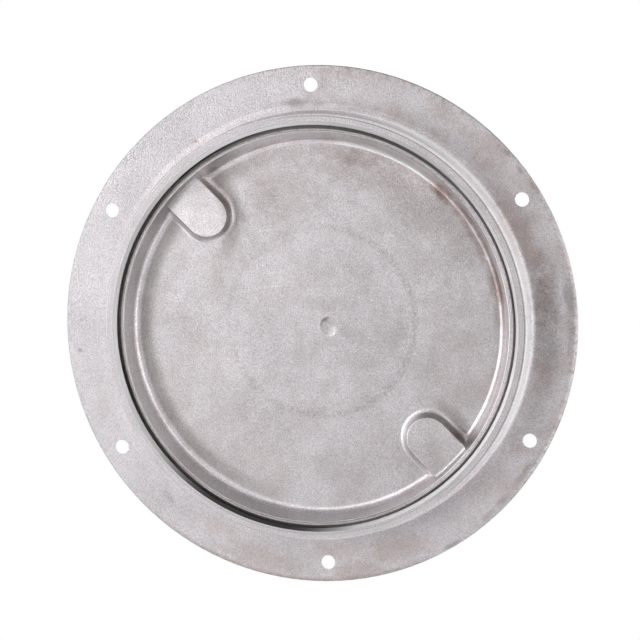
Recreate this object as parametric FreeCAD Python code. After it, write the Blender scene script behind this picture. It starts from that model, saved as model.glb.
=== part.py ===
# Deck inspection plate: a cast ring screwed to the deck, a cover that screws into it, and its seal.
#
# Millimetres. The axis of the plate is Z, which points up out of the deck. The origin is on the axis,
# in the plane of the flange's underside, which lies on the deck. The spigot and the cover's skirt hang
# below it. The cover is shown screwed home.

import FreeCAD
import Part

import math
import os

# Bore and spigot of the deck ring
BORE_DIAMETER = 157.6
SPIGOT_WALL = 4.6
SPIGOT_DEPTH = 12.0
SPIGOT_FOOT_BEVEL = 1.4
SPIGOT_END_BEVEL = 0.7
MOUTH_CHAMFER = 1.2

# Flange of the deck ring
FLANGE_WIDTH = 18.2
FLANGE_THICKNESS = 3.5
FLANGE_EDGE_BEVEL = 1.6
EDGE_BREAK = 0.4

# Countersunk screw holes, the first of them at SCREW_START from the X axis
SCREW_COUNT = 6
SCREW_START = 30.0
SCREW_INSET = 7.6
SCREW_HOLE = 5.6
SCREW_SINK = 10.4
SCREW_SINK_ANGLE = 90.0

# Cover: plate, lip and skirt
PLATE_THICKNESS = 6.7
LIP_THICKNESS = 1.8
LIP_LEDGE = 5.0
SKIRT_SHORT_OF_MOUTH = 1.0
SKIRT_GAP = 1.15
SKIRT_RIM_WIDTH = 1.6
SKIRT_FOOT_WIDTH = 4.55
SKIRT_RIM_BREAK = 0.3
FLOOR_BEVEL = 1.8

# Finger pockets, whose backs are pads under the plate. The angle is that of the cover screwed home.
COVER_ANGLE = 46.5
POCKET_COUNT = 2
PAD_LENGTH = 20.0
PAD_WIDTH = 16.4
PAD_HEIGHT = 5.0
PAD_DRAFT = 16.0
PAD_EDGE_BEVEL = 0.4
PAD_END_BEVEL = 1.2
PAD_ROOT = 0.6
POCKET_WALL = 2.6
POCKET_END_DRAFT = 5.0
POCKET_FLOOR_BEVEL = 1.2
POCKET_MOUTH_BEVEL = 0.5

# Gate mark left by the casting in the cover's underside
GATE_DIAMETER = 7.0
GATE_DEPTH = 0.7
GATE_X = 3.9
GATE_Y = 1.1

# Screw thread, right-handed
THREAD_PITCH = 5.0
THREAD_CREST_WIDTH = 1.4
THREAD_FLANK_ANGLE = 30.0
THREAD_ENGAGEMENT = 0.8
THREAD_LEAD = 1.5
THREAD_START_ANGLE = 100.0
THREAD_ROOT_OVERLAP = 0.4

# Seal, square in section
SEAL_SECTION = 3.0

# Clearances
LIP_RADIAL_CLEARANCE = 0.3
LIP_SEAT_CLEARANCE = 0.1
SEAL_CLEARANCE = 0.1
THREAD_AXIAL_CLEARANCE = 0.15
THREAD_RADIAL_CLEARANCE = 0.25

# Radii, from the bore outwards
BORE_R = BORE_DIAMETER / 2
SPIGOT_R = BORE_R + SPIGOT_WALL
FLANGE_R = SPIGOT_R + FLANGE_WIDTH
SCREW_CIRCLE_R = FLANGE_R - SCREW_INSET
SKIRT_R = BORE_R - SKIRT_GAP
RIM_INNER_R = SKIRT_R - SKIRT_RIM_WIDTH
FLOOR_R = SKIRT_R - SKIRT_FOOT_WIDTH
SEAL_R = SKIRT_R + SEAL_CLEARANCE + SEAL_SECTION / 2
SEAL_SEAT_R = SEAL_R + SEAL_SECTION / 2 + SEAL_CLEARANCE
LIP_R = SEAL_SEAT_R + LIP_LEDGE
LIP_RECESS_R = LIP_R + LIP_RADIAL_CLEARANCE
CREST_R = BORE_R + THREAD_ENGAGEMENT

# Heights, from the top downwards
TOP_Z = FLANGE_THICKNESS
LIP_Z = TOP_Z - LIP_THICKNESS
LEDGE_Z = LIP_Z - LIP_SEAT_CLEARANCE
SEAL_Z = LIP_Z - SEAL_CLEARANCE - SEAL_SECTION / 2
SEAL_SEAT_Z = SEAL_Z - SEAL_SECTION / 2 - SEAL_CLEARANCE
FLOOR_Z = TOP_Z - PLATE_THICKNESS
PAD_Z = FLOOR_Z - PAD_HEIGHT
MOUTH_Z = -SPIGOT_DEPTH
RIM_Z = MOUTH_Z + SKIRT_SHORT_OF_MOUTH
THREAD_TOP_Z = SEAL_SEAT_Z
THREAD_BOTTOM_Z = RIM_Z + SKIRT_RIM_BREAK + THREAD_LEAD

FLANK_SLOPE = math.tan(math.radians(THREAD_FLANK_ANGLE))
PAD_SLOPE = math.tan(math.radians(PAD_DRAFT))
WALL_SLOPE = (RIM_INNER_R - FLOOR_R) / (FLOOR_Z - RIM_Z)
PAD_END_R = FLOOR_R + PAD_HEIGHT * WALL_SLOPE

LEVEL_TOLERANCE = 0.001
ORIGIN = FreeCAD.Vector(0, 0, 0)
AXIS = FreeCAD.Vector(0, 0, 1)
ALONG_Y = FreeCAD.Vector(0, 1, 0)


def corner(x, z, bevel=0):
    """One corner of an outline in the XZ plane, sharp or with a length cut off along each of its sides."""
    return FreeCAD.Vector(x, 0, z), bevel


def turned(corners):
    """The solid that an outline of corners makes when it is turned about Z. Their x is the radius."""
    points = []
    for index, (point, bevel) in enumerate(corners):
        if bevel:
            back = (corners[index - 1][0] - point).normalize()
            ahead = (corners[(index + 1) % len(corners)][0] - point).normalize()
            points += [point + back * bevel, point + ahead * bevel]
        else:
            points.append(point)
    return Part.Face(Part.makePolygon(points + points[:1])).revolve(ORIGIN, AXIS, 360)


def around_axis(shape, count, start):
    """Copies of a shape at equal angles about Z, the first turned by start degrees."""
    copies = []
    for index in range(count):
        copy = shape.copy()
        copy.rotate(ORIGIN, AXIS, start + 360.0 * index / count)
        copies.append(copy)
    return copies


def level_edges(shape, z):
    """The edges of a shape that lie in the horizontal plane at height z."""
    return [
        edge for edge in shape.Edges
        if abs(edge.BoundBox.ZMax - z) < LEVEL_TOLERANCE and abs(edge.BoundBox.ZMin - z) < LEVEL_TOLERANCE
    ]


def thread_ridge(radial_play, axial_play):
    """A right-handed helical ridge with sloping flanks, longer than the thread at both ends.

    With no play it is the ridge on the cover's skirt. With play it is the larger ridge that cuts
    the groove in the ring, in step with the first at every height.
    """
    root = SKIRT_R - THREAD_ROOT_OVERLAP
    crest = CREST_R + radial_play
    half_crest = THREAD_CREST_WIDTH / 2 + axial_play - radial_play * FLANK_SLOPE
    half_root = half_crest + (crest - root) * FLANK_SLOPE
    corners = [(root, -half_root), (crest, -half_crest), (crest, half_crest), (root, half_root)]
    points = [FreeCAD.Vector(x, 0, z) for x, z in corners]
    section = Part.makePolygon(points + points[:1])
    height = THREAD_TOP_Z - THREAD_BOTTOM_Z + 2 * THREAD_PITCH
    path = Part.makeLongHelix(THREAD_PITCH, height, SKIRT_R)
    ridge = Part.Wire(path.Edges).makePipeShell([section], True, True)
    ridge.translate(FreeCAD.Vector(0, 0, THREAD_BOTTOM_Z - THREAD_PITCH))
    ridge.rotate(ORIGIN, AXIS, THREAD_START_ANGLE)
    return ridge


def ring_thread_groove():
    """The groove cut in the bore: it runs out in a cone at the bottom and is open at the top."""
    reach = CREST_R + THREAD_RADIAL_CLEARANCE
    cone = reach - BORE_R
    limits = turned([
        corner(SKIRT_R, THREAD_BOTTOM_Z - SKIRT_GAP),
        corner(BORE_R + 2 * cone, THREAD_BOTTOM_Z + 2 * cone),
        corner(BORE_R + 2 * cone, LEDGE_Z),
        corner(SKIRT_R, LEDGE_Z),
    ])
    return thread_ridge(THREAD_RADIAL_CLEARANCE, THREAD_AXIAL_CLEARANCE).common(limits)


def cover_thread():
    """The ridge on the skirt, coned at both ends for an easy start."""
    cone = CREST_R - SKIRT_R
    inside = SKIRT_R - 2 * THREAD_ROOT_OVERLAP
    limits = turned([
        corner(inside, THREAD_BOTTOM_Z),
        corner(SKIRT_R, THREAD_BOTTOM_Z),
        corner(CREST_R + cone, THREAD_BOTTOM_Z + 2 * cone),
        corner(CREST_R + cone, THREAD_TOP_Z - 2 * cone),
        corner(SKIRT_R, THREAD_TOP_Z),
        corner(inside, THREAD_TOP_Z),
    ])
    return thread_ridge(0, 0).common(limits)


def screw_hole():
    """One countersunk screw hole, standing on the axis."""
    spare = FLANGE_THICKNESS
    hole = Part.makeCylinder(SCREW_HOLE / 2, TOP_Z + 2 * spare, FreeCAD.Vector(0, 0, -spare))
    slope = math.tan(math.radians(SCREW_SINK_ANGLE / 2))
    depth = (SCREW_SINK - SCREW_HOLE) / 2 / slope
    sink = Part.makeCone(SCREW_HOLE / 2, SCREW_SINK / 2, depth, FreeCAD.Vector(0, 0, TOP_Z - depth))
    above = Part.makeCylinder(SCREW_SINK / 2, spare, FreeCAD.Vector(0, 0, TOP_Z))
    return hole.fuse([sink, above])


def deck_ring():
    """The casting that is screwed to the deck: flange, spigot, seal seat and threaded bore."""
    lead_in = CREST_R + THREAD_RADIAL_CLEARANCE
    ring = turned([
        corner(BORE_R, MOUTH_Z, bevel=MOUTH_CHAMFER),
        corner(SPIGOT_R, MOUTH_Z, bevel=SPIGOT_END_BEVEL),
        corner(SPIGOT_R, 0, bevel=SPIGOT_FOOT_BEVEL),
        corner(FLANGE_R, 0, bevel=EDGE_BREAK),
        corner(FLANGE_R, TOP_Z, bevel=FLANGE_EDGE_BEVEL),
        corner(LIP_RECESS_R, TOP_Z, bevel=EDGE_BREAK),
        corner(LIP_RECESS_R, LEDGE_Z),
        corner(SEAL_SEAT_R, LEDGE_Z),
        corner(SEAL_SEAT_R, SEAL_SEAT_Z),
        corner(lead_in, SEAL_SEAT_Z),
        corner(BORE_R, SEAL_SEAT_Z - (lead_in - BORE_R)),
    ])
    ring = ring.cut(ring_thread_groove())
    hole = screw_hole()
    hole.translate(FreeCAD.Vector(SCREW_CIRCLE_R, 0, 0))
    return ring.cut(around_axis(hole, SCREW_COUNT, SCREW_START))


def u_outline(width_radius, centre_x, end_x, z):
    """A horizontal U: a half circle about centre_x that faces the axis, and a straight outer end."""
    inner = FreeCAD.Vector(centre_x - width_radius, 0, z)
    left = FreeCAD.Vector(centre_x, width_radius, z)
    right = FreeCAD.Vector(centre_x, -width_radius, z)
    far_left = FreeCAD.Vector(end_x, width_radius, z)
    far_right = FreeCAD.Vector(end_x, -width_radius, z)
    return Part.Wire([
        Part.LineSegment(far_left, left).toShape(),
        Part.Arc(left, inner, right).toShape(),
        Part.LineSegment(right, far_right).toShape(),
        Part.LineSegment(far_right, far_left).toShape(),
    ])


def pad():
    """The back of one finger pocket, drafted as it leaves the mould, on the X axis under the plate.

    Its flat underside ends at the skirt's wall, in a bevel that stands for the round between the two.
    """
    centre_x = FLOOR_R - PAD_LENGTH + PAD_WIDTH / 2
    root_z = FLOOR_Z + PAD_ROOT
    tip_z = PAD_Z - 2 * PAD_END_BEVEL
    root_radius = PAD_WIDTH / 2 + (root_z - PAD_Z) * PAD_SLOPE
    tip_radius = PAD_WIDTH / 2 - (PAD_Z - tip_z) * PAD_SLOPE
    end_x = math.sqrt((SKIRT_R - SKIRT_RIM_WIDTH / 2) ** 2 - root_radius ** 2)
    body = Part.makeLoft([
        u_outline(root_radius, centre_x, end_x, root_z),
        u_outline(tip_radius, centre_x, end_x, tip_z),
    ], True, True)
    flat_end_r = PAD_END_R - PAD_END_BEVEL
    bevel_width = PAD_END_BEVEL * (1 + WALL_SLOPE)
    below = turned([
        corner(0, tip_z - PAD_END_BEVEL),
        corner(flat_end_r + 3 * bevel_width, tip_z - PAD_END_BEVEL),
        corner(flat_end_r, PAD_Z),
        corner(0, PAD_Z),
    ])
    # Half a turn takes the cutter's seam out of the pad.
    below.rotate(ORIGIN, AXIS, 180)
    body = body.cut(below)
    edges = [edge for edge in level_edges(body, PAD_Z) if edge.BoundBox.XMin < centre_x + LEVEL_TOLERANCE]
    return body.makeChamfer(PAD_EDGE_BEVEL, edges)


def pocket_outline(z, spread=0):
    """The level section of one finger pocket's hollow at height z, spread outwards by an extra width."""
    above_floor = z - PAD_Z - POCKET_WALL
    width_radius = PAD_WIDTH / 2 - POCKET_WALL + (z - PAD_Z) * PAD_SLOPE + spread
    end_x = FLOOR_R - POCKET_WALL + above_floor * math.tan(math.radians(POCKET_END_DRAFT)) + spread
    return u_outline(width_radius, FLOOR_R - PAD_LENGTH + PAD_WIDTH / 2, end_x, z)


def pocket():
    """The hollow of one finger pocket, on the X axis, from its floor up through the plate's top."""
    floor_z = PAD_Z + POCKET_WALL
    hollow = Part.makeLoft([pocket_outline(floor_z), pocket_outline(TOP_Z)], True, True)
    hollow = hollow.makeChamfer(POCKET_FLOOR_BEVEL, level_edges(hollow, floor_z))
    mouth_z = TOP_Z - POCKET_MOUTH_BEVEL
    mouth = [pocket_outline(mouth_z), pocket_outline(TOP_Z, spread=POCKET_MOUTH_BEVEL)]
    return hollow.fuse(Part.makeLoft(mouth, True, True))


def screw_cover():
    """The casting that closes the ring: plate, lip, threaded skirt and two finger pockets."""
    cover = turned([
        corner(0, FLOOR_Z),
        corner(FLOOR_R, FLOOR_Z),
        corner(RIM_INNER_R, RIM_Z, bevel=SKIRT_RIM_BREAK),
        corner(SKIRT_R, RIM_Z, bevel=SKIRT_RIM_BREAK),
        corner(SKIRT_R, LIP_Z),
        corner(LIP_R, LIP_Z),
        corner(LIP_R, TOP_Z, bevel=EDGE_BREAK),
        corner(0, TOP_Z),
    ])
    cover = cover.fuse(around_axis(pad(), POCKET_COUNT, COVER_ANGLE)).removeSplitter()
    cover = cover.makeChamfer(FLOOR_BEVEL, level_edges(cover, FLOOR_Z))
    cover = cover.cut(around_axis(pocket(), POCKET_COUNT, COVER_ANGLE))
    ball_radius = (GATE_DIAMETER ** 2 / 4 + GATE_DEPTH ** 2) / (2 * GATE_DEPTH)
    ball_z = FLOOR_Z + GATE_DEPTH - ball_radius
    ball = Part.makeSphere(ball_radius, FreeCAD.Vector(GATE_X, GATE_Y, ball_z), ALONG_Y)
    cover = cover.cut(ball)
    return cover.fuse(cover_thread())


def sealing_ring():
    """The square-cut rubber ring round the skirt, under the lip."""
    inner = SEAL_R - SEAL_SECTION / 2
    outer = SEAL_R + SEAL_SECTION / 2
    bottom = SEAL_Z - SEAL_SECTION / 2
    top = SEAL_Z + SEAL_SECTION / 2
    return turned([corner(inner, bottom), corner(outer, bottom), corner(outer, top), corner(inner, top)])


os.makedirs("parts", exist_ok=True)
pieces = {
    "deck_ring": deck_ring(),
    "screw_cover": screw_cover(),
    "sealing_ring": sealing_ring(),
}
for name, shape in pieces.items():
    shape.exportStep("parts/" + name + ".step")
    print(name, shape.ShapeType, len(shape.Solids), shape.isValid(), round(shape.Volume))
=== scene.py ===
import bpy
import math
from functools import partial
from mathutils import Matrix, Vector


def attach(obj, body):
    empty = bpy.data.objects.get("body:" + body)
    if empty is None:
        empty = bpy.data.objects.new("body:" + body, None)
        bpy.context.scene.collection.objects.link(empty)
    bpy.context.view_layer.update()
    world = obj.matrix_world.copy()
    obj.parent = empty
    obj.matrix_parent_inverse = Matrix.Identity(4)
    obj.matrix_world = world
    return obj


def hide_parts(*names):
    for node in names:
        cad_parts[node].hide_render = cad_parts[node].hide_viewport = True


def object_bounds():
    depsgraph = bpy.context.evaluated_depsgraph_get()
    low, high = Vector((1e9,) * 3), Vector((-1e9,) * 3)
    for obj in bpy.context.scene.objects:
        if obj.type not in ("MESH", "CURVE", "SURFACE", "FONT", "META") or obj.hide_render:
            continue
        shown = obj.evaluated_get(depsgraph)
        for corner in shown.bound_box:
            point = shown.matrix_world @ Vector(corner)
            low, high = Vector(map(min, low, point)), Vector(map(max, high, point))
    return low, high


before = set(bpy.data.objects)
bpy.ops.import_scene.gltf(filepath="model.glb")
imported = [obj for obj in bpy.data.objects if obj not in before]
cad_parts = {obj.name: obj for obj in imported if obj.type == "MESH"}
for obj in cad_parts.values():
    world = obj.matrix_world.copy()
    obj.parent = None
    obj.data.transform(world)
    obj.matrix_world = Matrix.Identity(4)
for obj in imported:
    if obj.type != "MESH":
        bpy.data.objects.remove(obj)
cad_low, cad_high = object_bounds()


# The deck ring is one sand casting in stainless steel. Its flange is screwed down on the deck, and
# its spigot hangs through the hole. The underside keeps the raw skin of the mould. Only the bore,
# the mouth's inner edge and the top are machined.

MM = 0.001
SAME_PLACE = 1e-6
FLAT_WITHIN = math.radians(1)
ANY_SHAPE = math.radians(180)
SMOOTH_UP_TO = math.radians(50)
LARGEST_FACE_DECIDES = 100

# The faces whose upright part of the normal is between two limits, and their say in the shading
SLOPED = 0.5
LEVEL = 0.99
FACE_STRENGTHS = (("WEAK", SLOPED, LEVEL), ("MEDIUM", 0.0, SLOPED), ("STRONG", LEVEL, 2.0))


def joined_copy(node, name, turned_radius=0.0):
    """A copy of a solid's loose triangles with joined corners, smooth where the casting is smooth.

    The bevels are shaded as rounds between the flat faces and walls beside them, which stay flat.
    Edges nearer the axis than turned_radius were left crisp by the lathe.
    """
    piece = bpy.data.objects.new(name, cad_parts[node].data.copy())
    bpy.context.scene.collection.objects.link(piece)
    piece.data.materials.clear()
    bpy.ops.object.select_all(action="DESELECT")
    piece.select_set(True)
    bpy.context.view_layer.objects.active = piece
    bpy.ops.mesh.customdata_custom_splitnormals_clear()
    bpy.ops.object.mode_set(mode="EDIT")
    bpy.ops.mesh.select_all(action="SELECT")
    bpy.ops.mesh.remove_doubles(threshold=SAME_PLACE)
    bpy.ops.mesh.tris_convert_to_quads(face_threshold=FLAT_WITHIN, shape_threshold=ANY_SHAPE)
    for strength, low, high in FACE_STRENGTHS:
        bpy.ops.mesh.select_all(action="DESELECT")
        bpy.ops.object.mode_set(mode="OBJECT")
        for face in piece.data.polygons:
            face.select = low <= abs(face.normal.z) < high
        bpy.ops.object.mode_set(mode="EDIT")
        bpy.ops.mesh.mod_weighted_strength(set=True, face_strength=strength)
    bpy.ops.object.mode_set(mode="OBJECT")
    bpy.ops.object.shade_smooth_by_angle(angle=SMOOTH_UP_TO)
    corners = piece.data.vertices
    near_axis = [corner.co.xy.length < turned_radius for corner in corners]
    for edge in piece.data.edges:
        first, second = edge.vertices
        around = abs(corners[first].co.z - corners[second].co.z) < SAME_PLACE
        if around and near_axis[first] and near_axis[second]:
            edge.use_edge_sharp = True
    weighted = piece.modifiers.new("weighted", "WEIGHTED_NORMAL")
    weighted.mode = "FACE_AREA"
    weighted.weight = LARGEST_FACE_DECIDES
    weighted.keep_sharp = True
    weighted.use_face_influence = True
    bpy.ops.object.modifier_apply(modifier=weighted.name)
    return piece


# The sockets of a Mix node that mixes colours
MIX_AMOUNT = 0
MIX_FIRST = 6
MIX_SECOND = 7
MIX_RESULT = 2

# A mark goes this far down, and fades between these shares of its half size.
MARK_DEPTH = 1000
MARK_OUTSIDE = 1.45
MARK_INSIDE = 0.25


class Wire:
    """The output of a shader node. Arithmetic on it adds Math nodes, and node() any other node."""

    def __init__(self, tree, socket=None):
        self.tree = tree
        self.socket = socket

    def node(self, kind, settings=None, sockets=None, output=0):
        made = self.tree.nodes.new(kind)
        for name, value in (settings or {}).items():
            setattr(made, name, value)
        for name, value in (sockets or {}).items():
            if isinstance(value, Wire):
                self.tree.links.new(value.socket, made.inputs[name])
            else:
                made.inputs[name].default_value = value
        return Wire(self.tree, made.outputs[output])

    def maths(self, operation, *values):
        return self.node("ShaderNodeMath", {"operation": operation}, dict(enumerate(values)))

    def __add__(self, other):
        return self.maths("ADD", self, other)

    def __radd__(self, other):
        return self.maths("ADD", other, self)

    def __sub__(self, other):
        return self.maths("SUBTRACT", self, other)

    def __rsub__(self, other):
        return self.maths("SUBTRACT", other, self)

    def __mul__(self, other):
        return self.maths("MULTIPLY", self, other)

    def __rmul__(self, other):
        return self.maths("MULTIPLY", other, self)

    def __truediv__(self, other):
        return self.maths("DIVIDE", self, other)

    def __pow__(self, other):
        return self.maths("POWER", self, other)

    def __abs__(self):
        return self.maths("ABSOLUTE", self)

    def either(self, other):
        """The larger of two masks at each place."""
        return self.maths("MAXIMUM", self, other)

    def rise(self, low, high):
        """0 below low, 1 above high, and smooth between them. With low above high it falls."""
        return self.node("ShaderNodeMapRange", {"interpolation_type": "SMOOTHSTEP"},
                         {0: self, 1: low, 2: high, 3: 0.0, 4: 1.0})

    def band(self, low, high, soft):
        """1 between low and high, falling to 0 within a soft width outside them."""
        return self.rise(low - soft, low) * (1.0 - self.rise(high, high + soft))

    def split(self):
        """The three parts of a place or direction."""
        parts = self.tree.nodes.new("ShaderNodeSeparateXYZ")
        self.tree.links.new(self.socket, parts.inputs[0])
        return [Wire(self.tree, output) for output in parts.outputs]

    def moved(self, offset=(0, 0, 0), scale=(1, 1, 1)):
        """This place with a pattern's own offset and scale."""
        return self.node("ShaderNodeMapping", None, {0: self, "Location": offset, "Scale": scale})

    def noise(self, size, detail=2.0, roughness=0.5, distortion=0.0):
        """Cloudy noise at this place, 0 to 1, with lumps about size apart."""
        sockets = {"Vector": self, "Scale": 1.0 / size, "Detail": detail, "Roughness": roughness,
                   "Distortion": distortion}
        return self.node("ShaderNodeTexNoise", None, sockets)

    def spots(self, size):
        """The distance from this place to the nearest of some scattered points, 0 at a point."""
        return self.node("ShaderNodeTexVoronoi", None, {"Vector": self, "Scale": 1.0 / size})

    def mix(self, first, second, way="MIX"):
        """Two colours mixed, or multiplied, by this amount."""
        settings = {"data_type": "RGBA", "blend_type": way, "clamp_result": True}
        sockets = {MIX_AMOUNT: self, MIX_FIRST: first, MIX_SECOND: second}
        return self.node("ShaderNodeMix", settings, sockets, output=MIX_RESULT)

    def to(self, other, amount):
        """This colour mixed to another one by an amount."""
        return amount.mix(self, other)

    def times(self, other, amount):
        """This colour multiplied by another one by an amount."""
        return amount.mix(self, other, "MULTIPLY")

    def patch(self, x, y, length, width, turn, ragged):
        """A mark with an uneven edge, centred on x, y: 1 inside, 0 outside. Turn is in degrees."""
        sockets = {0: self, "Location": (x, y, 0), "Rotation": (0, 0, math.radians(turn)),
                   "Scale": (length / 2, width / 2, MARK_DEPTH)}
        local = self.node("ShaderNodeMapping", {"vector_type": "TEXTURE"}, sockets)
        reach = local.node("ShaderNodeVectorMath", {"operation": "LENGTH"}, {0: local}, "Value")
        return (reach + ragged).rise(MARK_OUTSIDE, MARK_INSIDE)


def new_material(name):
    """A new material, and the place on the object in millimetres, from its own coordinates."""
    material = bpy.data.materials.new(name)
    material.use_nodes = True
    start = Wire(material.node_tree)
    place = start.node("ShaderNodeTexCoord", output="Object")
    scaled = {0: place, "Scale": 1 / MM}
    return material, start.node("ShaderNodeVectorMath", {"operation": "SCALE"}, scaled)


def plate_axes(place):
    """A place's x and y, its height and its radius from the plate's axis, in millimetres."""
    x, y, z = place.split()
    return x, y, z, (x * x + y * y) ** 0.5


def towards(x, y, radius, bearing, half, soft):
    """1 within half degrees of a bearing from the axis, falling to 0 over soft degrees more."""
    turn = math.radians(bearing)
    cosine = (x * math.cos(turn) + y * math.sin(turn)) / radius
    return cosine.rise(math.cos(math.radians(half + soft)), math.cos(math.radians(half)))


def finish(material, colour, roughness, height, depth):
    """Joins a colour, a roughness and a relief of that depth in millimetres to the shader."""
    shader = material.node_tree.nodes["Principled BSDF"]
    links = material.node_tree.links
    links.new(colour.socket, shader.inputs["Base Color"])
    links.new(roughness.socket, shader.inputs["Roughness"])
    sockets = {"Height": height, "Strength": 1.0, "Distance": depth * MM}
    bump = height.node("ShaderNodeBump", None, sockets)
    links.new(bump.socket, shader.inputs["Normal"])


def finish_metal(material, colour, roughness, dull, height, depth):
    """The same for a metal, less metallic where a dull film covers it."""
    finish(material, colour, roughness, height, depth)
    shader = material.node_tree.nodes["Principled BSDF"]
    material.node_tree.links.new((1.0 - dull).socket, shader.inputs["Metallic"])


CAST_LIGHT = (0.88, 0.842, 0.872, 1)
CAST_DARK = (0.40, 0.376, 0.385, 1)
CAST_SHADE = 0.56
CAST_ROUGHNESS = 0.55
CAST_RELIEF = 0.18

# Lumps of the cast skin, in millimetres
GRAIN = 0.55
SAND = 0.33
MOTTLE = 4.5
BLOTCH = 24


def cast_skin(place):
    """The raw skin of the castings: its colour, its roughness, and its relief from 0 to 1."""
    grain = place.moved(scale=(1.0, 0.75, 1.0)).noise(GRAIN, detail=1.5, roughness=0.6)
    sand = place.noise(SAND, detail=0.0)
    mottle = place.noise(MOTTLE, detail=3.0)
    blotch = place.moved(offset=(31, 7, 3)).noise(BLOTCH, detail=3.0, distortion=0.6)
    fine = (grain - 0.5) * 0.9 + (sand - 0.5) * 0.8
    shade = fine + (mottle - 0.5) * 0.22 + (blotch - 0.5) * 0.40
    colour = (shade + CAST_SHADE).mix(CAST_DARK, CAST_LIGHT)
    roughness = CAST_ROUGHNESS - 0.06 + mottle * 0.12
    relief = grain * 0.7 + sand * 0.35 + mottle * 0.5
    return colour, roughness, relief


# Dirt, turned steel, painted shade and painted light, and tints that darken the skin or, with parts
# over 1, lighten it
GREASE_AND_PAINTED_SHADE = (0.20, 0.185, 0.185, 1)
DRY_DIRT_AND_PAINTED_LIGHT = (0.85, 0.80, 0.80, 1)
PAINTED_GAP_SHADE = (0.05, 0.045, 0.045, 1)
SATIN = (0.60, 0.592, 0.588, 1)
MOUTH = (0.92, 0.905, 0.91, 1)
MOUTH_PAINTED_SHADE = (0.70, 0.69, 0.69, 1)
OXIDE_AND_PAINTED_SHADE = (0.50, 0.475, 0.46, 1)
BROWN_FILM_AND_PAINTED_SHADE = (0.82, 0.765, 0.735, 1)
PALE = (1.28, 1.27, 1.27, 1)
PAINTED_HIGHLIGHT = (1.24, 1.27, 1.265, 1)


def ragged_edge(place):
    """How far a mark's edge strays either way from its outline, as a share of its half size."""
    return place.noise(4.0, detail=6.0, roughness=0.72) * 2.2 - 1.1


def marked(colour, place, marks, ragged, tint):
    """A colour with marks on it: x, y, length and width in millimetres, turn and strength."""
    spread = None
    for x, y, length, width, turn, strength in marks:
        mark = place.patch(x, y, length, width, turn, ragged) * strength
        spread = mark if spread is None else spread.either(mark)
    return colour.times(tint, spread)


TOOL_PITCH = 0.28
SCORE_PITCH = 0.7
SATIN_SHARE = 0.92
GREASE_AND_SHADE_SHARE = 0.93
PAINTED_LIGHT_SHARE = 0.8


def turned_lines(radius, pitch):
    """Fine concentric tool lines, 0 to 1, with uneven depths."""
    line = radius.node("ShaderNodeCombineXYZ", None, {"X": radius})
    return line.noise(pitch, detail=1.0)


def turned_skin(roughness, relief, topside, machined, greased, lines):
    """The skin's roughness and relief where the lathe cut it away or thread grease fills it."""
    roughness = roughness - topside * (0.24 - lines * 0.16) - greased * 0.08
    relief = relief * (1.0 - machined * 0.93 - greased * 0.5) + machined * lines * 0.10
    return roughness, relief


# Edges of the ring in millimetres, as in the solid: radii, and heights above the flange's underside
FLANGE_R = 101.6
RECESS_R = 86.15
SPIGOT_R = 83.4
SEAT_R = 80.85
MOUTH_R = 80.0
CRISP_WITHIN = 80.1
LEDGE_Z = 1.6
CHAMFER_Z = -10.8
END_Z = -12.0

ring = joined_copy("deck_ring", "deck_ring_casting", turned_radius=CRISP_WITHIN * MM)
ring_metal, place = new_material("ring_cast_steel")
x, y, z, radius = plate_axes(place)
facing = partial(towards, x, y, radius)
colour, roughness, relief = cast_skin(place.moved(offset=(13, 29, 5.37)))
ragged = ragged_edge(place)
film = place.moved(offset=(9, 41, 0)).noise(11, detail=5.0, roughness=0.68)
lines = turned_lines(radius, TOOL_PITCH)

# The surfaces of the ring: each mask rises or falls so many millimetres from the edge it names.
flange = radius.rise(SPIGOT_R + 1.2, SPIGOT_R + 2.2) * z.rise(-1.2, -0.4)
side = z.rise(-0.02, -0.3) * radius.rise(SPIGOT_R - 0.8, SPIGOT_R - 0.3)
side_foot = radius.band(SPIGOT_R + 0.1, SPIGOT_R + 1.6, 0.5) * z.rise(-0.8, -0.6)
round_foot = radius.band(SPIGOT_R + 1.9, SPIGOT_R + 3.2, 0.5) * z.rise(-0.6, -0.3)
at_end = z.rise(END_Z + 0.3, END_Z + 0.1)
end_face = at_end * radius.rise(SPIGOT_R - 0.6, SPIGOT_R - 0.9)
end_face = end_face * radius.rise(MOUTH_R, MOUTH_R + 0.1)
mouth = radius.rise(MOUTH_R + 0.1, MOUTH_R - 0.05) * z.rise(CHAMFER_Z + 0.2, CHAMFER_Z)
bore = radius.rise(MOUTH_R, MOUTH_R - 0.3) * z.rise(CHAMFER_Z + 0.02, CHAMFER_Z + 0.3)
bore = bore * z.rise(LEDGE_Z - 0.2, LEDGE_Z - 0.4)
ledge = radius.rise(RECESS_R + 0.45, RECESS_R + 0.15) * z.rise(LEDGE_Z - 0.3, LEDGE_Z - 0.1)
seat = radius.band(SEAT_R - 1.65, SEAT_R + 1.35, 0.3) * z.band(-3.0, LEDGE_Z - 0.4, 0.2)
topside = z.rise(LEDGE_Z, LEDGE_Z + 0.3).either(ledge + seat)
machined = mouth.either(topside)

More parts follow.
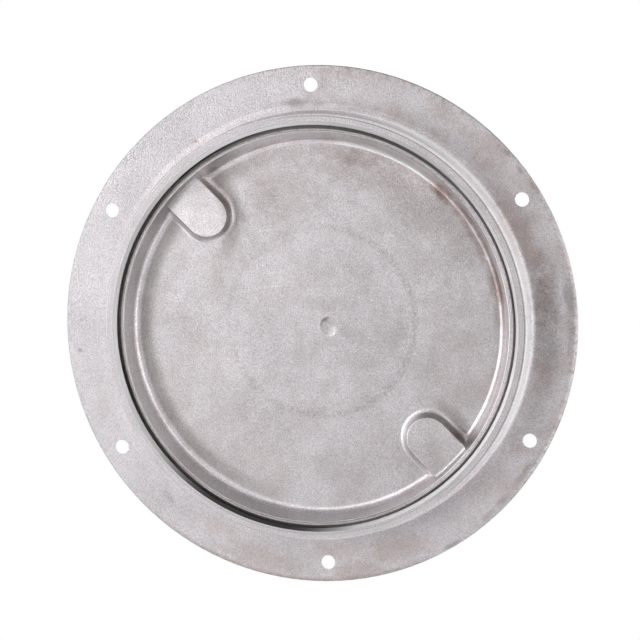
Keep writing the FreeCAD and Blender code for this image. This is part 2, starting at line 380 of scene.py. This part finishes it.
# Handling and heat marks on the flange's underside. The two broad dark patches beside the spigot on
# one side are partly stains and partly painted shadow of the spigot.
oxide_and_shadow_marks = [
    (89.0, -7.8, 26, 11, 90, 0.55), (88.8, 10.0, 28, 11, 90, 0.35), (98.8, -9.0, 16, 5, 84, 0.6),
    (98.8, 7.0, 16, 3.5, 92, 0.5), (80.0, 58.0, 7, 2.5, 126, 0.5), (76.3, 62.7, 6, 2.5, 130, 0.4),
    (69.8, 70.5, 7, 2.5, 135, 0.5), (64.1, 75.9, 7, 2.2, 140, 0.4),
    (76.2, -65.2, 4.5, 1.6, 50, 0.5), (81.0, -58.5, 4.5, 1.6, 55, 0.5),
    (85.9, -51.8, 4, 1.5, 60, 0.5), (-6.4, -87.1, 9, 3.6, 3, 0.65), (2.5, -86.4, 6, 2.5, 0, 0.3),
    (49.5, 87.6, 8, 2, -28, 0.6), (-63.5, 66.9, 7, 3, 45, 0.35), (-96.8, 8.0, 2.6, 1.7, 20, 0.7),
    (-95.6, -4.0, 1.6, 1.2, 0, 0.5), (-87.0, -20.0, 3.0, 1.2, 60, 0.3),
]
brown_marks = [
    (-46.6, -73.2, 2.4, 2.0, 0, 1.0), (27.0, 88.6, 30, 11, -15, 0.9), (4.0, 89.5, 26, 8, 0, 0.6),
    (-44.0, 79.0, 22, 8, 28, 0.55), (20.0, -97.0, 50, 12, 8, 0.35), (11.0, 97.0, 22, 9, -6, 0.9),
    (69.0, -65.0, 26, 14, 46, 0.6), (84.0, 25.0, 22, 12, 105, 0.5), (-88.0, 30.0, 14, 6, 100, 0.3),
    (79.0, -36.0, 54, 10, 66, 0.8), (-26.0, 92.0, 36, 13, 16, 0.8),
]
pale_marks = [
    (68, 60, 46, 18, 132, 0.3), (-83, -55, 24, 12, 125, 0.25), (94.5, 42, 20, 9, 114, 0.3),
    (82, 50, 10, 8, 120, 0.3),
]
colour = marked(colour, place, oxide_and_shadow_marks, ragged, OXIDE_AND_PAINTED_SHADE)
colour = marked(colour, place, brown_marks, ragged, BROWN_FILM_AND_PAINTED_SHADE)
sandy = place.noise(0.9, detail=3.0, roughness=0.7).rise(0.42, 0.60)
# A sandy dark patch beside the spigot: partly a stain and partly painted shadow of the spigot
colour = colour.times(OXIDE_AND_PAINTED_SHADE, place.patch(90, 2, 50, 13, 92, ragged) * sandy * 0.35)
colour = marked(colour, place, pale_marks, ragged, PALE)
# A brown film over one side of the flange: partly a stain and partly painted shade of the side that
# the light reaches least. The chipped outer edge is darkened more on that side, also as painted
# shade.
right_side = facing(-20, 50, 40)
colour = colour.times(BROWN_FILM_AND_PAINTED_SHADE, flange * right_side * film.rise(0.38, 0.68) * 0.8)
low_edge = radius.rise(FLANGE_R - 2.0, FLANGE_R - 0.4) * facing(100, 22, 15)
right_edge = radius.rise(FLANGE_R - 1.6, FLANGE_R - 0.6) * facing(10, 22, 12)
colour = colour.times(BROWN_FILM_AND_PAINTED_SHADE, flange * low_edge).times(PALE, right_edge)
chipped = place.noise(2.4, detail=3.0).rise(0.52, 0.62)
outer_edge = radius.rise(FLANGE_R - 3.4, FLANGE_R - 0.4) * chipped
colour = colour.times(OXIDE_AND_PAINTED_SHADE, flange * outer_edge * (0.15 + right_side * 0.25))

# The spigot's drafted side is rougher and paler than the flat faces. On one side the drafted side
# and the inner part of its foot carry a painted highlight, and the round at the foot carries
# another on a second part of the way round. A painted line of shade runs along the side on a third
# part.
lighter_side = side.either(side_foot) * facing(-20, 32, 35)
shade_line = side * z.band(-7.0, -5.6, 0.6) * facing(-86, 28, 16)
foot_highlight = round_foot * facing(-92, 44, 24)
colour = colour.times(PALE, side).times(PAINTED_HIGHLIGHT, lighter_side).times(OXIDE_AND_PAINTED_SHADE, shade_line * 0.9)
colour = colour.times(PALE, foot_highlight * 0.6)
roughness = roughness + side * 0.16

# The end face is turned, darker along a fine line near its outer edge on one side, and scored near
# its inner one.
outer_dark_line = radius.band(SPIGOT_R - 1.2, SPIGOT_R - 0.95, 0.15) * at_end * facing(-25, 60, 25)
scored = turned_lines(radius, SCORE_PITCH).rise(0.50, 0.60) * facing(100, 38, 20)
colour = colour.times(OXIDE_AND_PAINTED_SHADE, end_face * (0.04 + lines.rise(0.45, 0.75) * 0.25))
colour = colour.times(OXIDE_AND_PAINTED_SHADE, outer_dark_line * 0.7)
near_mouth = radius.rise(MOUTH_R + 1.8, MOUTH_R + 1.2)
colour = colour.times(OXIDE_AND_PAINTED_SHADE, end_face * near_mouth * scored * 0.35)

# The mouth, the bore and the top are turned on a lathe. The bore is dark with thread grease, whose
# darkness also stands for the shade deep in the gap. The bore is lightened on one side as painted
# light, and it and the mouth are painted black on another as the deepest shade. The mouth also has
# painted shade on one side and painted highlights on two others.
shaded_mouth = mouth * facing(178, 30, 30)
gap_in_shade = bore * facing(108, 15, 12) + mouth * facing(112, 10, 24)
colour = colour.to(SATIN, topside * SATIN_SHARE).to(MOUTH, mouth * 0.9)
colour = colour.times(MOUTH_PAINTED_SHADE, shaded_mouth)
colour = colour.times(PALE, mouth * facing(52, 30, 14))
colour = colour.times(PALE, mouth * facing(-44, 20, 16) * 0.9)
colour = colour.to(GREASE_AND_PAINTED_SHADE, bore * GREASE_AND_SHADE_SHARE)
colour = colour.to(DRY_DIRT_AND_PAINTED_LIGHT, bore * facing(10, 58, 28) * PAINTED_LIGHT_SHARE)
colour = colour.to(PAINTED_GAP_SHADE, gap_in_shade * GREASE_AND_SHADE_SHARE)
roughness, relief = turned_skin(roughness, relief, topside, machined, bore, lines)
dull = side * 0.4 + lighter_side * 0.4 + bore * 0.3
finish_metal(ring_metal, colour, roughness, dull, relief, CAST_RELIEF)
ring.data.materials.append(ring_metal)
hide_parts("deck_ring")
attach(ring, "frame")


# The screw cover is the second casting: a plate with a skirt, whose thread is cut on a lathe, and
# two pads with the finger pockets behind them. Its underside is as rough as the ring's. It sits a
# little to one side in the play of its thread.

THREAD_PLAY = Vector((0.21, 0.10, 0)) * MM
MACHINED = (0.80, 0.785, 0.785, 1)
FLOOR_FILM = (0.82, 0.79, 0.775, 1)
WALL_SHADE = (0.98, 1.0, 0.985, 1)
PAINTED_SHADOW = (0.66, 0.645, 0.63, 1)
RIM_SHADE = (0.84, 0.82, 0.815, 1)
RUST = (0.56, 0.47, 0.43, 1)

# Edges of the cover in millimetres, as in the solid
LIP_R = 85.85
SKIRT_R = 77.65
RIM_INNER_R = 76.05
FLOOR_R = 73.1
TOP_Z = 3.5
LIP_Z = 1.7
FLOOR_Z = -3.2
PAD_Z = -8.2
RIM_Z = -11.0

cover = joined_copy("screw_cover", "screw_cover_casting")
cover.data.transform(Matrix.Translation(THREAD_PLAY))
cover_metal, place = new_material("cover_cast_steel")
x, y, z, radius = plate_axes(place)
facing = partial(towards, x, y, radius)
colour, roughness, relief = cast_skin(place.moved(offset=(57, 23, 11)))
ragged = ragged_edge(place)
film = place.moved(offset=(3, 17, 0)).noise(15, detail=6.0, roughness=0.66)
lines = turned_lines(radius, TOOL_PITCH)

# The surfaces of the cover: each mask rises or falls so many millimetres from the edge it names.
below_floor = z.rise(FLOOR_Z + 1.2, FLOOR_Z + 0.2)
inside = radius.rise(FLOOR_R + 2.4, FLOOR_R - 0.1) * below_floor
on_floor = z.rise(FLOOR_Z - 1.0, FLOOR_Z - 0.4) * below_floor
foot = z.band(FLOOR_Z - 1.7, FLOOR_Z - 0.15, 0.15) * radius.rise(FLOOR_R + 2.9, FLOOR_R + 1.9)
foot_band = radius.band(FLOOR_R - 2.8, FLOOR_R + 0.1, 1.7) * z.rise(RIM_Z + 1.0, RIM_Z + 2.0)
pad_flat = radius.rise(FLOOR_R + 1.5, FLOOR_R + 0.5) * z.rise(PAD_Z + 0.5, PAD_Z + 0.1)
pad_side = z.band(PAD_Z + 0.5, FLOOR_Z - 1.4, 0.4) * radius.rise(FLOOR_R + 0.3, FLOOR_R - 0.5)
pad_edge = z.band(PAD_Z + 0.1, PAD_Z + 0.45, 0.08) * radius.rise(FLOOR_R + 0.5, FLOOR_R - 0.1)
wall = z.band(RIM_Z + 0.3, FLOOR_Z - 2.0, 0.5) * radius.rise(SKIRT_R - 0.35, SKIRT_R - 0.65)
wall = wall * (1.0 - pad_flat)
rim = z.rise(RIM_Z + 0.45, RIM_Z + 0.25) * radius.rise(RIM_INNER_R - 0.35, RIM_INNER_R - 0.05)
rim_inner_edge = radius.rise(SKIRT_R - 1.15, SKIRT_R - 1.3)
rim_outer_edge = radius.band(SKIRT_R - 0.7, SKIRT_R - 0.55, 0.1)
rim_edge = rim * (rim_inner_edge + rim_outer_edge)
thread = radius.rise(SKIRT_R - 0.2, SKIRT_R - 0.05) * z.rise(LIP_Z - 0.1, LIP_Z - 0.3)
thread = thread * z.rise(RIM_Z + 2.5, RIM_Z + 5.0)
lower_skirt = radius.rise(SKIRT_R - 0.25, SKIRT_R - 0.1) * z.rise(RIM_Z + 6.0, RIM_Z + 4.0)
lip = radius.rise(LIP_R - 4.35, LIP_R - 3.35) * z.rise(LIP_Z - 0.2, LIP_Z - 0.05)
topside = z.rise(TOP_Z - 0.2, TOP_Z - 0.08).either(lip)

# A ring left by the lathe's chuck, a little off the axis, and streaks beside the gate mark
CHUCK_X = 1.5
CHUCK_Y = -1.5
CHUCK_RADIUS = 36.9

colour = colour.times(FLOOR_FILM, inside * film.rise(0.40, 0.68) * 0.7)
off_x = x - CHUCK_X
off_y = y - CHUCK_Y
from_ring = abs((off_x * off_x + off_y * off_y) ** 0.5 - CHUCK_RADIUS)
specks = place.noise(1.1, detail=4.0, roughness=0.65).rise(0.40, 0.60)
fade = 0.4 + facing(25, 80, 70) * 0.6
colour = colour.times(OXIDE_AND_PAINTED_SHADE, inside * from_ring.rise(2.2, 0.2) * specks * fade * 0.42)
streaks = [
    (0, -9.0, 24, 6, 8, 0.6), (12, 3.0, 18, 6, 30, 0.5), (-8, 2.0, 14, 5, 80, 0.4),
    (-57, 22, 16, 30, 0, 0.6), (-9, 33, 30, 10, 0, 0.4), (14, 55, 60, 13, -5, 0.4),
    (-11, -53, 26, 30, 0, 0.8), (-21, -62, 46, 10, -10, 0.5), (59, 14, 24, 36, 0, 0.4),
    (44, -44, 54, 18, 45, 0.9), (-47, 43, 22, 36, 40, 0.6), (-27, 51, 32, 20, 15, 0.6),
    (-35, -26, 26, 14, -25, 0.6), (18, -60, 50, 12, 12, 0.8), (-55, 27, 14, 14, 20, 0.6),
    (52, 12, 18, 36, 0, 0.3), (60, 26, 18, 14, 60, 0.5),
]
clean_marks = [
    (-14, -17, 28, 16, -30, 0.25), (-35, 15, 36, 20, 0, 0.25), (42, -7, 16, 26, 0, 0.25),
]
colour = marked(colour, place, streaks, ragged, FLOOR_FILM)
colour = marked(colour, place, clean_marks, ragged, PALE)

# Painted shadow on the floor in the corners by the skirt and beside the pads, and one paler mark
wall_shadow = radius.rise(FLOOR_R - 9.1, FLOOR_R - 4.6) * radius.rise(FLOOR_R - 1.9, FLOOR_R - 2.9)
wall_shadow = wall_shadow * facing(-180, 45, 45) * on_floor
pad_and_wall_shadows = [
    (-33.5, -51.0, 28, 8, 66, 1.0), (-32.5, -36.5, 16, 7, 112, 0.8), (55, 39.5, 26, 6, 45, 0.8),
    (56.0, 43.5, 9, 5, 45, 0.8), (-55.5, -50.5, 26, 5, 133, 0.9), (-35.0, -66.5, 14, 5, -28, 0.5),
]
colour = colour.times(PAINTED_SHADOW, wall_shadow)
colour = marked(colour, place, pad_and_wall_shadows, ragged * 0.5, PAINTED_SHADOW)
colour = marked(colour, place, [(41, -56, 17, 8, 38, 0.6)], ragged, PALE)

# The gate mark, sunk in the middle of the plate: a dark crescent of painted shade inside it on one
# side, and a paler rim
GATE_X = 4.3
GATE_Y = 0.1
GATE_RADIUS = 3.9

gate_shadow = [
    (GATE_X - 1.6, GATE_Y - 2.4, 4.4, 1.5, -35, 1.0),
    (GATE_X - 2.9, GATE_Y - 1.0, 2.4, 1.2, -70, 0.8),
]
gate_x = x - GATE_X
gate_y = y - GATE_Y
from_gate_edge = abs((gate_x * gate_x + gate_y * gate_y) ** 0.5 - GATE_RADIUS)
colour = marked(colour, place, gate_shadow, ragged * 0.5, OXIDE_AND_PAINTED_SHADE)
colour = colour.times(PALE, from_gate_edge.rise(0.55, 0.1) * inside * 0.6)

# Rust along the foot of the skirt on one side
rust_marks = [
    (50.5, -50.5, 11, 5, 45, 0.9), (72.5, -10.0, 9, 4, 82, 0.8), (4.0, -68.5, 12, 5, 3, 0.3),
    (70.5, -17.0, 15, 4, 76, 0.5), (17.0, -65.0, 26, 7, 15, 0.45),
]
colour = marked(colour, place, rust_marks, ragged, RUST)
rusty = facing(-46, 34, 10) * 0.25 + facing(-22, 22, 7) * 0.35
patchy = 0.3 + place.noise(6.5, detail=4.0).rise(0.38, 0.62) * 0.7
colour = colour.times(RUST, foot_band * rusty * patchy)

# The drafted walls and the pads' sides carry painted shade on the sides away from the light and
# painted light on the others, and the pads' top edges and the rounds at the foot of the walls carry
# painted highlights. One pad has a painted shadow beside it, and the other's flat is paler near the
# skirt.
from_wall = radius.rise(FLOOR_R + 0.4, FLOOR_R - 8.1)
near_foot = z.rise(FLOOR_Z - 4.4, FLOOR_Z - 2.8)
colour = colour.times(PALE, pad_flat * facing(-135, 20, 10) * from_wall * 0.7)
colour = colour.times(WALL_SHADE, wall).times(PAINTED_SHADOW, pad_side * (x - y).rise(-3, 7))
colour = colour.times(PALE, foot * (1.0 - facing(-20, 14, 10) * 0.5))
colour = colour.times(PALE, pad_side * (y - x).rise(5, 12) * (x + y).rise(20, 50) * 0.6)
colour = colour.times(PALE, pad_edge)
# A painted shadow beside one pad
colour = marked(colour, place, [(55.0, 43.4, 8, 4, 45, 0.8)], ragged * 0.5, OXIDE_AND_PAINTED_SHADE)
colour = colour.times(PALE, foot * facing(-60, 14, 14)).times(PAINTED_HIGHLIGHT, foot * facing(-63, 10, 10))
colour = colour.times(PALE, wall * facing(-76, 26, 16) * 0.8)
colour = colour.times(PAINTED_SHADOW, wall * facing(-168, 26, 12) * 0.35)
colour = colour.times(PAINTED_HIGHLIGHT, wall * near_foot * facing(12, 20, 16))
roughness = roughness - wall * 0.06 - foot * 0.12

# The rim is turned, dented by use, and paler on one side. Its outer edge is painted dark on another
# side, as shade from the gap beside it.
dents = place.spots(1.1).rise(0.30, 0.16)
lighter_side = facing(10, 20, 50)
rim_line = rim * radius.band(SKIRT_R - 0.93, SKIRT_R - 0.7, 0.12) * facing(170, 100, 20)
shaded_rim_edge = rim * radius.rise(SKIRT_R - 0.75, SKIRT_R - 0.45) * facing(-166, 48, 22)
colour = colour.times(RIM_SHADE, rim).times(OXIDE_AND_PAINTED_SHADE, rim * dents * 0.8)
colour = colour.to(MACHINED, rim_edge * 0.7).times(OXIDE_AND_PAINTED_SHADE, rim_line * 0.8)
colour = colour.times(PAINTED_GAP_SHADE, shaded_rim_edge * 0.85).times(PALE, rim * lighter_side)
colour = colour.times(RIM_SHADE, rim * (1.0 - lighter_side))
roughness = roughness - rim * 0.12

# The top is turned, and the thread is dark with grease, whose darkness also stands for the shade in
# the gap. The thread is lightened on one side as painted light, and the lower skirt darkened on
# another as painted shade.
colour = colour.to(SATIN, topside * SATIN_SHARE).to(GREASE_AND_PAINTED_SHADE, thread * GREASE_AND_SHADE_SHARE)
colour = colour.to(DRY_DIRT_AND_PAINTED_LIGHT, thread * facing(10, 70, 30) * PAINTED_LIGHT_SHARE)
roughness, relief = turned_skin(roughness, relief, topside, topside, thread, lines)
colour = colour.to(GREASE_AND_PAINTED_SHADE, lower_skirt * facing(-84, 30, 15) * 0.6)
dull = lower_skirt * 0.65 + foot * 0.1
finish_metal(cover_metal, colour, roughness, dull, relief, CAST_RELIEF)
cover.data.materials.append(cover_metal)
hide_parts("screw_cover")
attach(cover, "cover")


# The sealing ring is a square-cut cord of black rubber, stretched over the skirt under the lip. It
# is matt, with a little grey bloom and the talc of its packing.

RUBBER = (0.016, 0.016, 0.017, 1)
BLOOM = (0.036, 0.035, 0.034, 1)
RUBBER_ROUGHNESS = 0.52
RUBBER_RELIEF = 0.03

seal = joined_copy("sealing_ring", "rubber_sealing_ring")
rubber, place = new_material("seal_rubber")
bloom = place.noise(3.5, detail=4.0).rise(0.42, 0.70)
talc = place.spots(0.8).rise(0.22, 0.10) * 0.5
skin = place.noise(0.3, detail=2.0)
colour = bloom.mix(RUBBER, BLOOM).to(DRY_DIRT_AND_PAINTED_LIGHT, talc * bloom * 0.2)
finish(rubber, colour, RUBBER_ROUGHNESS + bloom * 0.18, skin, RUBBER_RELIEF)
seal.data.materials.append(rubber)
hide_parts("sealing_ring")
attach(seal, "seal")


# The studio: a white backdrop behind the plate, ten soft lamps on the camera's side of it,
# brightest to the left, three on the other side, and a plain pale floor, which shows only from
# above.

BACKDROP_LIGHT = 0.9
CEILING_LIGHT = 0.30
ROOM_LIGHT = 0.02

scene = bpy.context.scene
scene.view_settings.view_transform = "Standard"
world = bpy.data.worlds.new("white_studio")
scene.world = world
world.use_nodes = True
world.node_tree.nodes.clear()
sky = Wire(world.node_tree)
by_camera = sky.node("ShaderNodeLightPath", output="Is Camera Ray")
by_metal = sky.node("ShaderNodeLightPath", output="Is Glossy Ray")
by_glass = sky.node("ShaderNodeLightPath", output="Is Transmission Ray")
up = sky.node("ShaderNodeTexCoord", output="Generated").split()[2]

# The camera sees white, metal and glass see the backdrop in a dim room, and the rest a soft light.
above = up.rise(-0.05, 0.15)
overhead = up.rise(0.3, 0.85)
mirrored = by_metal.either(by_glass)
mirror_image = ROOM_LIGHT + (CEILING_LIGHT - ROOM_LIGHT) * above + (1.0 - CEILING_LIGHT) * overhead
soft_light = ROOM_LIGHT + (BACKDROP_LIGHT - ROOM_LIGHT) * above
unseen = mirrored * mirror_image + (1.0 - mirrored) * soft_light
strength = by_camera + (1.0 - by_camera) * unseen
light = sky.node("ShaderNodeBackground", None, {"Color": (1, 1, 1, 1), "Strength": strength})
output = sky.tree.nodes.new("ShaderNodeOutputWorld")
sky.tree.links.new(light.socket, output.inputs["Surface"])

LAMP_DISTANCE = 0.8
LAMP_SIDE = 0.45
# Each lamp's bearing in the picture, counted left round from the picture's right, its height in
# degrees towards the camera, and its watts.
UNDERSIDE_LAMPS = [
    (180, 40, 3.2), (135, 40, 1.55), (135, 65, 0.55), (270, 65, 0.75), (270, 40, 0.35),
    (0, 15, 1.7), (0, 40, 0.6), (45, 40, 1.35), (270, 15, 0.95), (315, 15, 0.9),
]
TOPSIDE_LAMPS = [(135, -50, 1.0), (20, -35, 0.5), (250, -30, 0.35)]
for number, (bearing, height, watts) in enumerate(UNDERSIDE_LAMPS + TOPSIDE_LAMPS):
    lamp = bpy.data.lights.new("softbox_%d" % number, "AREA")
    lamp.shape = "SQUARE"
    lamp.size = LAMP_SIDE
    lamp.energy = watts
    box = bpy.data.objects.new(lamp.name, lamp)
    scene.collection.objects.link(box)
    lift = math.radians(height)
    angle = math.radians(-bearing)
    level = math.cos(lift)
    outwards = Vector((level * math.cos(angle), level * math.sin(angle), -math.sin(lift)))
    box.location = outwards * LAMP_DISTANCE
    box.rotation_euler = (-outwards).to_track_quat("-Z", "Y").to_euler()
    box.visible_camera = False

FLOOR_SIDE = 4.0
FLOOR_GAP = 0.2 * MM
FLOOR_WHOLE_TO = 300
FLOOR_GONE_FROM = 1500
PAPER = (0.86, 0.86, 0.86, 1)
PAPER_ROUGHNESS = 0.9

bpy.ops.object.select_all(action="DESELECT")
floor_place = (0, 0, cad_low.z - FLOOR_GAP)
bpy.ops.mesh.primitive_plane_add(size=FLOOR_SIDE, location=floor_place)
floor = bpy.context.object
floor.name = "floor"
bpy.ops.object.transform_apply(location=True)
paper, place = new_material("floor_paper")
shader = paper.node_tree.nodes["Principled BSDF"]
shader.inputs["Base Color"].default_value = PAPER
shader.inputs["Roughness"].default_value = PAPER_ROUGHNESS

# Only the camera sees the floor, only from above, and it fades out some way from the plate.
seen = place.node("ShaderNodeLightPath", output="Is Camera Ray")
behind = place.node("ShaderNodeNewGeometry", output="Backfacing")
radius = plate_axes(place)[-1]
shown = seen * (1.0 - behind) * radius.rise(FLOOR_GONE_FROM, FLOOR_WHOLE_TO)
clear = place.node("ShaderNodeBsdfTransparent")
painted = Wire(paper.node_tree, shader.outputs[0])
mixed = place.node("ShaderNodeMixShader", None, {0: shown, 1: clear, 2: painted})
surface = paper.node_tree.nodes["Material Output"].inputs["Surface"]
paper.node_tree.links.new(mixed.socket, surface)
floor.data.materials.append(paper)


# The camera looks straight at the underside and is then swung a little about a line across the
# plate, so that it sees the collar's outer wall at the upper right.

CAMERA_DISTANCE = 1.4224
CAMERA_LENS = 204.2
CAMERA_ROLL = math.radians(1.67)
CAMERA_SWING = math.radians(11.44)
SWING_LINE = math.radians(-116.76)
CAMERA_SHIFT = Vector((0.27, 1.91, 0)) * MM

right = Vector((math.cos(CAMERA_ROLL), math.sin(CAMERA_ROLL), 0))
upward = Vector((math.sin(CAMERA_ROLL), -math.cos(CAMERA_ROLL), 0))
straight = Matrix((right, upward, Vector((0, 0, -1)))).transposed()
swing_line = Vector((math.cos(SWING_LINE), math.sin(SWING_LINE), 0))
turn = Matrix.Rotation(CAMERA_SWING, 3, swing_line) @ straight
lens = bpy.data.cameras.new("camera")
lens.lens = CAMERA_LENS
camera = bpy.data.objects.new("camera", lens)
scene.collection.objects.link(camera)
camera.rotation_euler = turn.to_euler()
camera.location = turn @ (CAMERA_SHIFT + Vector((0, 0, CAMERA_DISTANCE)))
scene.camera = camera
